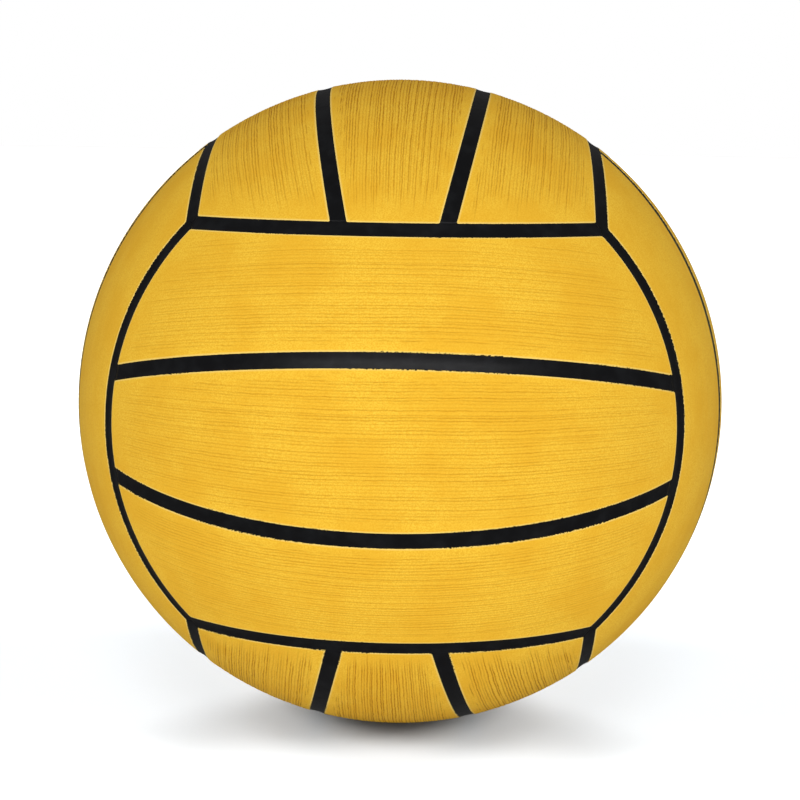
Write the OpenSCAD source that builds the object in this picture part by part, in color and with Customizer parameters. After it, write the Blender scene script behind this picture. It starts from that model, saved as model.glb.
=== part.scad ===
// Water polo ball, full size, with its bladder, winding, carcass, panels, seams and valve.
// The origin is the centre of the ball, +Z is up and the front face looks along -Y.

/* [Ball] */
// Girth of the pumped-up ball, measured round a great circle
ball_girth = 695; // [650:5:710]
// Angle that each face's middle panel takes up, seen from the centre of the ball
middle_panel_angle = 28; // [20:0.5:36]

/* [Layers] */
// Thickness of the rubber cover panels
cover_t = 1.5; // [1.2:0.1:2]
// Thickness of the rubber carcass under the panels
carcass_t = 0.4; // [0.3:0.1:1]
// Thickness of the nylon winding round the bladder
winding_t = 0.3; // [0.2:0.1:0.8]
// Thickness of the bladder wall
bladder_t = 0.5; // [0.4:0.1:1.2]

/* [Seams] */
// Width of the rubber seam strips between the panels
seam_w = 4.8; // [4:0.2:7]
// Depth of the groove along the seams where two faces meet
edge_groove = 0.35; // [0.3:0.05:0.6]
// Depth of the groove along the seams inside a face
inner_groove = 0.3; // [0.25:0.05:0.5]
// Step from a panel's rim down to the rim of the seam strip
rim_step = 0.1; // [0.05:0.01:0.15]

/* [Valve] */
// Radius of the valve boot's neck, and of the holes that it fills
neck_r = 5; // [4:0.25:6.5]
// Radius of the boot's flange, bonded inside the bladder
flange_r = 14; // [10:0.5:20]
// Thickness of the flange
flange_t = 1.4; // [1:0.1:2.5]
// Length of the boot's tube from the flange towards the centre
tube_l = 12; // [8:0.5:18]
// Depth of the boot's face below the crown of the ball
boot_recess = 0.35; // [0.2:0.05:0.6]
// Radius of the plug's stem, and of the boot's channel
stem_r = 2.6; // [2:0.1:3]
// Radius of the plug's head, and of its seat in the boot
head_r = 3.8; // [3.3:0.1:3.9]
// Thickness of the plug's head
head_t = 1.4; // [1:0.1:2]
// Radius of the plug's barb, which snaps in under the boot
barb_r = 3.6; // [3.2:0.1:4.4]
// Length of the plug's barb
barb_l = 2.5; // [1.5:0.1:4]
// Radius of the hole that takes the pump needle
needle_r = 1; // [0.8:0.05:1.3]
// Depth of the hole that takes the pump needle
needle_depth = 9; // [6:0.5:12]

/* [Hidden] */
$fn = 256;

// Radii of the layers, from the outside in
ball_r = ball_girth / (2 * PI);
carcass_r = ball_r - cover_t;
winding_r = carcass_r - carcass_t;
bladder_r = winding_r - winding_t;
air_r = bladder_r - bladder_t;
reach = 2 * ball_r;

// Three seams meet in each corner of the pattern, as far from all three axes,
// and half of a seam's width spans seam_angle at the centre of the ball
corner_angle = acos(1 / sqrt(3));
seam_angle = asin(seam_w / (2 * ball_r));
middle_angle = middle_panel_angle / 2;
third_turn_angle = 60;
edge_span = 110;
inner_span = 130;

// Heights along the valve's own axis
boot_top = ball_r - boot_recess;
boot_end = air_r - flange_t - tube_l;
seat_top = boot_top - head_t;

// Each face: its name, the turn that puts it in place, then the names of its
// side panels on +Y and -Y and of its end seams on +X and -X, before that turn
FACES = [
    ["front", [90, 0, 0], "upper", "lower", "right", "left"],
    ["back", [-90, 0, 0], "lower", "upper", "right", "left"],
    ["top", [0, 0, 90], "left", "right", "back", "front"],
    ["bottom", [180, 0, 90], "right", "left", "back", "front"],
    ["right", [0, 90, 0], "back", "front", "lower", "upper"],
    ["left", [0, -90, 0], "back", "front", "upper", "lower"]
];
VALVE_FACE = "back";

// A mirror in the second list maps the first side or end to the other
SIDES = [[2, [0, 0, 0]], [3, [0, 1, 0]]];
ENDS = [[4, [0, 0, 0]], [5, [1, 0, 0]]];

function middle_name(face) = str(face[0], "_middle_panel");
function side_name(face, side) = str(face[0], "_", face[side[0]], "_panel");
function inner_seam_name(face, side) = str(face[0], "_", face[side[0]], "_seam");
function edge_seam_name(face, end) = str(face[0], "_", face[end[0]], "_edge_seam");

// A point on a half plane, given by its distance from the centre and its angle from the pole
function polar(r, angle) = [r * sin(angle), r * cos(angle)];

// A groove is a circular arc across the seam: rim_step down at both rims, depth down in the middle
function groove_rise(depth) =
    sqrt(pow(ball_r - rim_step, 2) - pow(seam_w / 2, 2)) - (ball_r - depth);
function groove_r(depth) =
    (pow(seam_w / 2, 2) + pow(groove_rise(depth), 2)) / (2 * groove_rise(depth));
function groove_centre(depth) = ball_r - depth + groove_r(depth);

// Cone round +Z with its tip in the centre of the ball
module tip_cone(angle) {
    cylinder(h = reach * cos(angle), r1 = 0, r2 = reach * sin(angle));
}

// The same cone round +Y
module side_cone(angle) {
    rotate([-90, 0, 0]) tip_cone(angle);
}

module hollow_ball(outer_r, inner_r) {
    rotate([0, 90, 0]) difference() {
        sphere(outer_r);
        sphere(inner_r);
    }
}

module valve_hole() {
    rotate([-90, 0, 0]) cylinder(h = reach, r = neck_r);
}

// The whole width of a face, cut to its end seams
module face_shell() {
    intersection() {
        hollow_ball(ball_r, carcass_r);
        tip_cone(corner_angle - seam_angle);
    }
}

// Prism along X over the middle panel: it leaves out half a seam on each side
module middle_wedge() {
    tip = seam_w / 2 / sin(middle_angle);
    rotate([90, 0, 90]) linear_extrude(height = reach, center = true)
        polygon([
            [0, tip],
            [reach * tan(middle_angle), tip + reach],
            [-reach * tan(middle_angle), tip + reach]
        ]);
}

// Prism along X over everything on the +Y side of the middle panel and its seam
module side_wedge() {
    tip = seam_w / 2 / cos(middle_angle);
    rotate([90, 0, 90]) linear_extrude(height = reach, center = true)
        polygon([
            [tip, 0],
            [reach + tip, 0],
            [reach + tip, reach],
            [tip + reach * tan(middle_angle), reach]
        ]);
}

module middle_panel() {
    color("#F3C233") intersection() {
        face_shell();
        middle_wedge();
    }
}

module side_panel() {
    color("#F3C233") difference() {
        intersection() {
            face_shell();
            side_wedge();
        }
        side_cone(corner_angle + seam_angle);
    }
}

// Half section of a seam's groove, at an angle from the pole
module groove_circle(depth, angle) {
    translate(polar(groove_centre(depth), angle)) circle(groove_r(depth));
}

// Turns the Z axis square to the plane of the inner seam on the +Y side
module seam_turn() {
    rotate([-90 - middle_angle, 0, 0]) rotate([0, 0, -90 - inner_span / 2]) children();
}

// Strip between the middle panel and the side panel on the +Y side of a face
module inner_seam() {
    color("#1D1F21") intersection() {
        seam_turn() rotate_extrude(angle = inner_span) difference() {
            translate([0, -seam_w / 2]) square([ball_r, seam_w]);
            circle(carcass_r);
            groove_circle(inner_groove, 90);
        }
        tip_cone(corner_angle - seam_angle);
    }
}

// Groove of the inner seam, up to the middle of the edge seam that it runs into
module inner_groove_cut() {
    intersection() {
        seam_turn() rotate_extrude(angle = inner_span) groove_circle(inner_groove, 90);
        tip_cone(corner_angle);
    }
}

// Keeps what lies on the strip's side of the mitres in the corner where three seams meet
module corner_wedge() {
    rotate([0, corner_angle, 45]) linear_extrude(height = reach)
        polygon([for (turn = [0, -90 - third_turn_angle, -90, -90 + third_turn_angle])
            turn == 0 ? [0, 0] : reach * [cos(turn), sin(turn)]]);
}

// Strip along the end of a face, on its +X side, where the next face begins
module edge_seam() {
    color("#1D1F21") difference() {
        intersection() {
            rotate([0, 0, -edge_span / 2]) rotate_extrude(angle = edge_span) difference() {
                polygon([
                    [0, 0],
                    polar(ball_r, corner_angle - seam_angle),
                    polar(ball_r, corner_angle + seam_angle)
                ]);
                circle(carcass_r);
                groove_circle(edge_groove, corner_angle);
            }
            corner_wedge();
            mirror([0, 1, 0]) corner_wedge();
        }
        inner_groove_cut();
        mirror([0, 1, 0]) inner_groove_cut();
    }
}

module carcass() {
    color("#26282A") difference() {
        hollow_ball(carcass_r, winding_r);
        valve_hole();
    }
}

module winding() {
    color("#D9D6C8") difference() {
        hollow_ball(winding_r, bladder_r);
        valve_hole();
    }
}

module bladder() {
    color("#303234") difference() {
        hollow_ball(bladder_r, air_r);
        valve_hole();
    }
}

// Moulded boot: a neck through all the layers, a flange bonded inside the bladder, and a tube
module valve_boot() {
    color("#17191B") rotate([-90, 0, 0]) rotate_extrude() difference() {
        union() {
            translate([stem_r, boot_end]) square([neck_r - stem_r, boot_top - boot_end]);
            difference() {
                intersection() {
                    circle(air_r);
                    translate([stem_r, 0]) square([flange_r - stem_r, reach]);
                }
                circle(air_r - flange_t);
            }
        }
        translate([0, seat_top]) square([head_r, reach]);
    }
}

// Soft plug pressed into the boot, with a blind hole for the pump needle
module valve_plug() {
    color("#0F1011") rotate([-90, 0, 0]) rotate_extrude() polygon([
        [0, boot_end - barb_l],
        [stem_r, boot_end - barb_l],
        [barb_r, boot_end],
        [stem_r, boot_end],
        [stem_r, seat_top],
        [head_r, seat_top],
        [head_r, boot_top],
        [needle_r, boot_top],
        [needle_r, boot_top - needle_depth],
        [0, boot_top - needle_depth]
    ]);
}

for (face = FACES) {
    difference() {
            rotate(face[1]) middle_panel();
            if (face[0] == VALVE_FACE) valve_hole();
        }
    for (side = SIDES) {
        rotate(face[1]) mirror(side[1]) side_panel();
        rotate(face[1]) mirror(side[1]) inner_seam();
    }
    for (end = ENDS)
        rotate(face[1]) mirror(end[1]) edge_seam();
}
carcass();
winding();
bladder();
valve_boot();
valve_plug();
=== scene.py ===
import math
from functools import partial

import bmesh
import bpy
import numpy as np
from bpy.props import FloatProperty, FloatVectorProperty, IntProperty, PointerProperty
from mathutils import Matrix, Vector


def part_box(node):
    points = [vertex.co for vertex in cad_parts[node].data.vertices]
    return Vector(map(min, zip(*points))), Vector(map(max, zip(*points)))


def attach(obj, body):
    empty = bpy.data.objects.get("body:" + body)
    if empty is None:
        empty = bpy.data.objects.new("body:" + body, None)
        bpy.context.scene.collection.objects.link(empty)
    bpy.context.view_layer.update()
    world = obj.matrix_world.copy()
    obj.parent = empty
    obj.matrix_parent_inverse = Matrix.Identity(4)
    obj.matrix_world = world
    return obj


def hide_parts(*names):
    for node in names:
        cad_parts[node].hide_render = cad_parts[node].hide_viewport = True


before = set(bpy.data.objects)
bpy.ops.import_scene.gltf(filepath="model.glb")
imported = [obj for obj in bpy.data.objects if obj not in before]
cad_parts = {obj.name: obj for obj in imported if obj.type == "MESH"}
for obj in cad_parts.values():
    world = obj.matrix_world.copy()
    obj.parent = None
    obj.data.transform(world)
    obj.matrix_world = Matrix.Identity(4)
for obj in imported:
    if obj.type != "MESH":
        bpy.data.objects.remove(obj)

bl_info = {
    "name": "Water Polo Ball",
    "version": (1, 0, 0),
    "blender": (4, 5, 0),
    "location": "View3D > Sidebar > Ball",
    "description": "Moulds the cover, the seams and the valve round the packed ball, and sets the stage",
    "category": "Object",
}

# Lengths in the geometry code are millimetres, and the meshes are metres
MM = 0.001

# Three seams meet in each corner of the pattern, as far from all three axes
CORNER_ANGLE = math.acos(1 / math.sqrt(3))

# Each face: the turns that put it in place, in degrees about X, Y and Z, then the names of
# its side panels on +Y and -Y and of its end seams on +X and -X, before those turns
FACES = {
    "front": ((90, 0, 0), ("upper", "lower"), ("right", "left")),
    "back": ((-90, 0, 0), ("lower", "upper"), ("right", "left")),
    "top": ((0, 0, 90), ("left", "right"), ("back", "front")),
    "bottom": ((180, 0, 90), ("right", "left"), ("back", "front")),
    "right": ((0, 90, 0), ("back", "front"), ("lower", "upper")),
    "left": ((0, -90, 0), ("back", "front"), ("upper", "lower")),
}
VALVE_FACE = "back"
SIDES = (1, -1)

# Each face's finish: how strongly it is ribbed, where its ribs end, in millimetres from the end
# seams, and how far the seams' black runs over its rims. The mould leaves the side faces almost plain
# Grip also sets how much painted shade goes into the furrows
FINISH = {
    "front": {"Grip": 0.55, "End plain": 4.0, "Black creep": 0.8},
    "back": {"Grip": 0.55, "End plain": 4.0, "Black creep": 0.8},
    "top": {"Grip": 1.1, "End plain": 4.0, "Black creep": 0.1},
    "bottom": {"Grip": 1.05, "End plain": 0.6, "Black creep": 1.0},
    "right": {"Grip": 0.12, "End plain": 4.0, "Black creep": 1.0},
    "left": {"Grip": 0.12, "End plain": 4.0, "Black creep": 0.5},
}
# A side panel's ribs lie in planes that lean by this many degrees, which differs a little from
# panel to panel, as the sheets were laid by hand
RIB_LEAN = 12
ODD_RIB_LEANS = {
    ("top", "left"): 17,
    ("top", "right"): 7,
    ("bottom", "left"): 10,
    ("bottom", "right"): 14,
}

# Grids: even steps across and along a strip, and rows set close to its rims, in millimetres.
# The underside keeps every eighth line
RIM_INSETS = (0, 0.07, 0.16, 0.28, 0.45)
MIDDLE_STEPS = (160, 216)
SIDE_STEPS = (120, 208)
SEAM_STEPS = (16, 200)
EDGE_SEAM_STEPS = (16, 240)
UNDERSIDE_STRIDE = 8
# Rounds in which a panel grid's rows and columns settle on each other
SETTLING_ROUNDS = 30
# The grid is drawn round the valve's hole out to this many times the hole's size
HOLE_REACH = 3.0
# An inner seam's groove begins to shoal this far short of the middle of the edge seam that it
# runs into, as a share of half that seam's width
SHOAL_START = 0.25
# Steps round the valve, and in each rounding of its outline
LATHE_STEPS = 128
ROUNDING_STEPS = 6
SHARP_ANGLE = math.radians(40)
# Points nearer to each other than this, in metres, are one
WELD = 1e-7

# The ball's outline in the photograph, in its frame of 800 by 800 pixels
PHOTO_SIDE_PX = 800
OUTLINE_CENTRE_PX = (400.14, 401.13)
OUTLINE_RADIUS_PX = 321.8
SENSOR_WIDTH = 36
# The camera sees what lies between these distances, in metres
CLIP_RANGE = (0.05, 200)

# What the ribs and the finish follow, in millimetres
PANEL_FIELDS = ("across", "along", "side_gap", "end_gap", "rim_gap")
# What the material reads again from each panel's mesh
KEPT_FIELDS = ("grip", "seed", "end_plain", "black_creep")
# Properties that the moulded relief takes as its inputs
GRIP_SIZES = ("pitch", "furrow_width", "depth", "crown", "wander", "side_plain", "pebble")
RIM_SIZES = ("rim_radius", "rim_drop")
# One seed's noises lie this far from the next one's
SEED_STEP = 13.7
# Furrows are counted from here, so that no lane's number is negative
LANE_START = 400.0
# 0 sets furrows at even distances and 1 at random ones
FURROW_UNEVENNESS = 0.55
# Noises that make furrows wander: millimetres along and across the strip from one value to the
# next, then the share that each has
WANDER_NOISES = ((34.0, 14.0, 1.0), (6.0, 2.5, 0.36), (1.6, 1.0, 0.25))
# Noises that follow each furrow: millimetres along it from one value to the next, infinite where
# one value holds all along, then the noise's step from furrow to furrow
FURROW_NOISES = {
    "whole": (math.inf, 0.83),
    "stretch": (11.0, 0.77),
    "bead": (1.3, 0.91),
    "end": (math.inf, 0.61),
    "side": (6.0, 0.9),
}
# How a furrow comes and goes: two values of a noise, then its strength at both
FURROW_STRENGTHS = {
    "whole": (0.35, 0.6, 0.45, 1.0),
    "stretch": (0.3, 0.5, 0.65, 1.0),
    "bead": (0.3, 0.6, 0.8, 1.05),
}
# Where furrows die out: by noise, the gap that counts, the plain border there, then how
# unevenly they stop and how slowly they fade, in millimetres
BORDERS = {
    "side": ("side_gap", "Side plain", 5.0, 3.0),
    "end": ("end_gap", "End plain", 16.0, 9.0),
}
# Furrows start at this strength at a plain end, and are whole at this many times its length
WEAK_END = 0.55
WHOLE_AFTER = 15.0
# Scales of the moulded grain and of the slow swell under it, per millimetre, and the swell's
# height as a multiple of the grain's
PEBBLE_SCALE = 0.8
SWELL_SCALE = 0.06
SWELL_RATIO = 3.0
# How uneven a seam strip is: height and size of its grain and of its sag, in millimetres
SEAM_SKIN = {"Grain": 0.015, "Grain size": 1.4, "Sag": 0.05, "Sag length": 14.0}

# Noises in the yellow rubber's colour and finish: size in millimetres, then detail
COVER_NOISES = {
    "blotches": (19, 3.0),
    "stretches": (31, 0.0),
    "flecks": (0.4, 1.0),
    "ragged": (0.45, 2.0),
    "grain": (0.35, 1.0),
}
# Tints over the yellow rubber: two values of what each follows, then how much of it there is at
# both. rim_gap and clear are millimetres from the rim and from the black that creeps over it
TINTS = {
    "blotches": (0.35, 0.7, 0.0, 0.6),
    "flecks": (0.35, 0.65, 0.0, 0.8),
    # rim_gap gives a painted highlight: a pale line where the rounded rim catches the light
    "rim_gap": (0.1, 0.8, 0.8, 0.0),
    "clear": (0.0, 0.08, 1.0, 0.0),
}
# The furrows' painted shade, in ochre: the share of their width that takes it, and how much of it there is
SHADED_WIDTH = 0.95
FURROW_SHADE = 0.8
# How far the black creeps: two values of the stretches' noise and its reach at both. Flecks of it
# come in where the ragged noise is over the threshold
CREEP_REACH = (0.45, 0.6, 0.3, 1.9)
CREEP_THRESHOLD = 0.45
# The yellow rubber's roughness: two values of the blotches' noise, then the roughness at both
COVER_ROUGHNESS = (0.3, 0.7, 0.58, 0.66)
COVER_SHINE = 0.05
# Sizes of the bloom's patches and of the smears in the black rubber's shine, in millimetres, the
# patches' noise where bloom begins and is full, and what the smears add to the roughness
PATCH_SIZE = 5
PATCH_RANGE = (0.4, 0.75)
SMEAR_SIZE = 1.6
SMEAR_RANGE = (-0.08, 0.1)
# The winding's layers of thread, as turns about X, Y and Z in radians, millimetres from one
# thread to the next, and the wave's values where a thread begins and is whole
THREAD_TURNS = ((0.3, 0.9, 0.2), (1.1, 0.2, 0.7), (0.6, 1.9, 1.4))
THREAD_PITCH = 1.2
THREAD_EDGE = (0.45, 0.7)

# Softboxes: name, azimuth and elevation in degrees, width and height in metres, then watts
SOFTBOX_DISTANCE = 1.4
SOFTBOXES = (
    ("front_softbox", 0, 11, 0.5, 0.5, 10.2),
    ("back_softbox", 180, 12, 0.5, 0.5, 9.6),
    ("right_softbox", 90, 0, 0.5, 0.5, 0.3),
    ("left_softbox", -90, 0, 0.5, 0.5, 0.3),
    ("top_softbox", 0, 80, 0.5, 0.5, 1.6),
    ("sheen_strip", 0, 26, 2.4, 0.2, 4.2),
)
# Only this one shows in the rubber's sheen, and it lights nothing else
SHEEN_LIGHT = "sheen_strip"
# Suns that only the floor takes: name, azimuth, elevation and spread in degrees, then strength
FLOOR_SUNS = (
    ("right_sun", 60, 30, 20, 5.3),
    ("left_sun", -60, 30, 20, 5.3),
    ("low_right_sun", 60, 20, 20, 2.6),
    ("low_left_sun", -60, 20, 20, 2.6),
    ("high_right_sun", 90, 45, 20, 1.8),
    ("high_left_sun", -90, 45, 20, 1.8),
    ("front_sun", 0, 45, 20, 1.4),
    ("back_sun", 180, 30, 20, 4.5),
)
ROOM_LIGHT = 0.38
# The room is darker in the rubber's sheen, so that seams stay black where they turn away
ROOM_IN_SHEEN = 0.08


def linear(hex_colour):
    """An sRGB hex colour as linear RGBA."""
    shares = [int(hex_colour[i:i + 2], 16) / 255 for i in (1, 3, 5)]
    return tuple(s / 12.92 if s <= 0.04045 else ((s + 0.055) / 1.055) ** 2.4 for s in shares) + (1.0,)


def colour(name, description, hex_colour):
    return FloatVectorProperty(
        name=name, description=description, default=linear(hex_colour),
        size=4, subtype="COLOR", min=0, max=1,
    )


def length(name, description, default):
    return FloatProperty(
        name=name, description=description, default=default,
        min=0, precision=5, unit="LENGTH", subtype="DISTANCE",
    )


def angle(name, description, degrees):
    return FloatProperty(
        name=name, description=description, default=math.radians(degrees),
        unit="ROTATION", subtype="ANGLE",
    )


class BallSizes(bpy.types.PropertyGroup):
    """Sizes of the cover, as the CAD part has them."""

    radius: length("Ball radius", "From the centre to a panel's face", -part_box("front_middle_panel")[0].y)
    cover: length("Cover", "Thickness of the panels and seam strips", 0.0015)
    seam_width: length("Seam width", "Width of the black strips between panels", 0.0048)
    middle_angle: angle("Middle panel angle", "Angle that a face's middle panel takes up at the centre", 28)
    edge_groove: length("Edge groove", "Depth of the seams where two faces meet", 0.00035)
    inner_groove: length("Inner groove", "Depth of the seams inside a face", 0.0003)
    rim_step: length("Rim step", "Step from a panel's rim down to the strip", 0.0001)
    rim_radius: length("Rim radius", "Rounding of a panel's rim", 0.0003)
    rim_drop: length("Rim drop", "How far a panel's rounded rim comes down", 0.00016)
    corner_radius: length("Corner radius", "Rounding of a panel's corners, seen from above", 0.0005)
    fillet: length("Seam fillet", "How softly grooves run into each other", 0.0003)
    bedding: length("Bedding", "Room left between the undersides and the carcass", 0.0001)


class GripSizes(bpy.types.PropertyGroup):
    """Sizes of the moulded ribs."""

    pitch: length("Rib pitch", "Mean distance between furrows", 0.00098)
    furrow_width: length("Furrow width", "Width of a furrow at its mouth", 0.00075)
    depth: length("Furrow depth", "Depth of the deepest furrows", 0.00016)
    crown: length("Rib crown", "How far a rib bulges between two furrows", 0.00004)
    wander: length("Wander", "How far a furrow strays from its line", 0.001)
    side_plain: length("Plain side", "Plain border beside the long seams", 0.0016)
    pebble: length("Pebble", "Height of the fine moulded grain", 0.00002)
    draw_in: FloatProperty(
        name="Draw in", description="How far a middle panel's ribs close up at its ends", default=0.35
    )
    seed: IntProperty(name="Seed", description="Where the ribs' random choices start", default=11)


class ValveSizes(bpy.types.PropertyGroup):
    """Sizes of the valve, as the CAD part has them."""

    neck_radius: length("Neck radius", "Radius of the boot's neck and of the hole in the cover", 0.005)
    stem_radius: length("Stem radius", "Radius of the plug's stem", 0.0026)
    head: length("Head", "Thickness of the plug's head", 0.0014)
    flange: length("Flange", "Thickness of the boot's flange", 0.0014)
    barb_radius: length("Barb radius", "Radius of the plug's barb", 0.0036)
    needle_radius: length("Needle radius", "Radius of the needle hole", 0.001)
    needle_depth: length("Needle depth", "Depth of the needle hole", 0.009)
    lip: length("Lip", "Rounding of the boot's and the plug's edges", 0.00035)
    gap: length("Gap", "Shadow line between the plug's head and its seat", 0.00012)


class BallColours(bpy.types.PropertyGroup):
    """Colours of the ball's materials."""

    cover: colour("Cover", "Yellow of the panels", "#F8CA41")
    cover_deep: colour("Deep cover", "Warmer yellow of the mottling", "#EBB02B")
    # Painted shade: this ochre stands for the shade that falls in the furrows
    furrow: colour("Furrow", "Ochre in the bottom of the furrows", "#B1740A")
    # Painted highlight: this pale line stands for the light that the rounded rim catches
    rim: colour("Rim", "Pale line along a panel's rim", "#FADB7C")
    seam: colour("Seam", "Black of the strips", "#101012")
    seam_bloom: colour("Seam bloom", "Greyish bloom on the strips", "#18191B")
    carcass: colour("Carcass", "Rubber under the panels", "#26282A")
    thread: colour("Thread", "Nylon winding", "#D9D6C8")
    thread_gap: colour("Thread gap", "Rubber that shows between the threads", "#8D8A7C")
    butyl: colour("Butyl", "Bladder", "#303234")
    boot: colour("Boot", "Valve boot", "#17191B")
    plug: colour("Plug", "Valve plug", "#0F1011")
    floor: colour("Floor", "Floor under the ball", "#9DA0A3")
    floor_bounce: colour("Floor bounce", "What the floor throws back at the ball", "#747474")


class StageSizes(bpy.types.PropertyGroup):
    """The photograph's viewpoint, and the studio."""

    distance: length("Viewing distance", "From the ball's centre to the camera", 0.6509)
    azimuth: angle("Azimuth", "Camera's turn to the right round the ball", 1.92)
    elevation: angle("Elevation", "Camera's height above the ball's centre, as an angle", 7.9)
    roll: angle("Roll", "Camera's turn about its own line of sight", 0.89)
    floor_side: length("Floor side", "Side of the floor", 60.0)


def direction(azimuth, elevation):
    """Unit vector towards an azimuth, counted from -Y to +X, and an elevation."""
    return Vector((
        math.sin(azimuth) * math.cos(elevation),
        -math.cos(azimuth) * math.cos(elevation),
        math.sin(elevation),
    ))


def settings(group, *names):
    """Sizes of a property group, in millimetres."""
    return {name: getattr(group, name) / MM for name in names}


def label(name):
    """The name of a tree's input, from the name of a property or an attribute."""
    return name.replace("_", " ").capitalize()


def labelled(group, *names):
    """The same sizes by the names of a tree's inputs."""
    return {label(name): size for name, size in settings(group, *names).items()}


def ball_sizes():
    """The cover's sizes in millimetres and its angles in radians."""
    group = bpy.context.scene.ball_sizes
    s = settings(
        group, "radius", "cover", "seam_width", "edge_groove", "inner_groove",
        "rim_step", "corner_radius", "fillet", "bedding",
    )
    s["draw_in"] = bpy.context.scene.grip_sizes.draw_in
    s["tilt"] = group.middle_angle / 2
    s["half_seam"] = s["seam_width"] / 2
    s["seam_angle"] = math.asin(s["half_seam"] / s["radius"])
    s["under_radius"] = s["radius"] - s["cover"] + s["bedding"]
    return s


def face_matrix(face):
    """Puts a face in place, in the order of OpenSCAD's rotate()."""
    x, y, z = (math.radians(a) for a in FACES[face][0])
    return Matrix.Rotation(z, 4, "Z") @ Matrix.Rotation(y, 4, "Y") @ Matrix.Rotation(x, 4, "X")


# Node kinds and settings that come up again and again
MATH = "ShaderNodeMath"
RANGE = "ShaderNodeMapRange"
NOISE = "ShaderNodeTexNoise"
VECTOR = "ShaderNodeVectorMath"
MIX = "ShaderNodeMix"
ADD = {"operation": "ADD"}
SUBTRACT = {"operation": "SUBTRACT"}
TIMES = {"operation": "MULTIPLY"}
TIMES_ADD = {"operation": "MULTIPLY_ADD"}
SMOOTH = {"interpolation_type": "SMOOTHSTEP"}
# A Mix node's sockets: its factor, then both numbers and both colours, which share their names
FACTOR, FIRST_NUMBER, SECOND_NUMBER, FIRST, SECOND = 0, 2, 3, 6, 7
COLOURS = {"data_type": "RGBA", "output": 2}


def add_node(tree, kind, inputs=(), output=0, **values):
    """Adds a node, makes its settings and links, and returns one of its outputs, the first one
    unless another is named. The inputs come in order, or by name or number."""
    node = tree.nodes.new(kind)
    for name, value in values.items():
        setattr(node, name, value)
    for key, value in inputs.items() if isinstance(inputs, dict) else enumerate(inputs):
        if isinstance(value, bpy.types.NodeSocket):
            tree.links.new(value, node.inputs[key])
        else:
            node.inputs[key].default_value = value
    return node.outputs[output]


# The grids of the panels and seams, on the face round +Z with its strips along X


def spacing(steps):
    """Each line's share of an even span, and what is added to it to set lines close at both rims."""
    near = np.array(RIM_INSETS[:-1])
    last = RIM_INSETS[-1]
    share = np.concatenate([0 * near, np.linspace(0, 1, steps + 1), 1 + 0 * near])
    pad = np.concatenate([near, np.full(steps + 1, last), 2 * last - near[::-1]])
    return share, pad


def panel_grid(s, side, steps):
    """Points on a panel's face. side is 0 for the middle panel, and 1 or -1 for the one on +Y or -Y."""
    radius = s["radius"]
    end_z = radius * math.cos(CORNER_ANGLE - s["seam_angle"])
    side_y = radius * math.cos(CORNER_ANGLE + s["seam_angle"])
    row_share, row_pad = (v[:, None] for v in spacing(steps[0]))
    column_share, column_pad = (v[None, :] for v in spacing(steps[1]))
    taken = 2 * RIM_INSETS[-1]
    # A row's ends depend on its place across and a column's on its place along, so the two are
    # found in turns, from a guess, by half steps, which settle in the panel's corners too
    across = (s["tilt"] * 1.5 if side else 0.0) + 0 * row_share * column_share
    for _ in range(SETTLING_ROUNDS):
        end = np.arccos(np.minimum(end_z / (radius * np.cos(across)), 1))
        along = (column_pad + column_share * (2 * radius * end - taken)) / radius - end
        ring = radius * np.cos(along)
        half = np.arcsin(s["half_seam"] / ring)
        low = s["tilt"] + half if side else half - s["tilt"]
        high = np.arcsin(np.minimum(side_y / ring, 1)) if side else s["tilt"] - half
        across = (across + low + (row_pad + row_share * (ring * (high - low) - taken)) / ring) / 2
    points = [radius * np.sin(along), ring * np.sin(across) * (side or 1), ring * np.cos(across)]
    return np.stack(points, axis=-1)


def panel_fields(s, side, points, lean=RIB_LEAN):
    """What the ribs and the finish follow, for each point: millimetres across and along the
    strip, and to the nearest long rim, strip end and rounded rim."""
    radius = s["radius"]
    unit = points / radius
    out = np.abs(points[..., 1]) * math.cos(s["tilt"]) - points[..., 2] * math.sin(s["tilt"])
    side_gap = -out - s["half_seam"]
    if side:
        outer = radius * (np.arccos(np.abs(unit[..., 1])) - CORNER_ANGLE - s["seam_angle"])
        side_gap = np.minimum(out - s["half_seam"], outer)
    end_gap = radius * (CORNER_ANGLE - s["seam_angle"] - np.arccos(unit[..., 2]))
    ring = np.sqrt(1 - unit[..., 0] ** 2)
    if side:
        lean = math.radians(lean)
        across = radius * np.arcsin(np.abs(unit[..., 1]) * math.cos(lean) - unit[..., 2] * math.sin(lean))
    else:
        across = radius * np.arcsin(unit[..., 1]) * (1 + s["draw_in"] * (1 / ring - 1))
    corner = s["corner_radius"]
    in_corner = (side_gap < corner) & (end_gap < corner)
    rounded = corner - np.hypot(corner - side_gap, corner - end_gap)
    return {
        "across": across,
        "along": radius * np.arcsin(unit[..., 0]),
        "side_gap": side_gap,
        "end_gap": end_gap,
        "rim_gap": np.where(in_corner, rounded, np.minimum(side_gap, end_gap)),
    }


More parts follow.
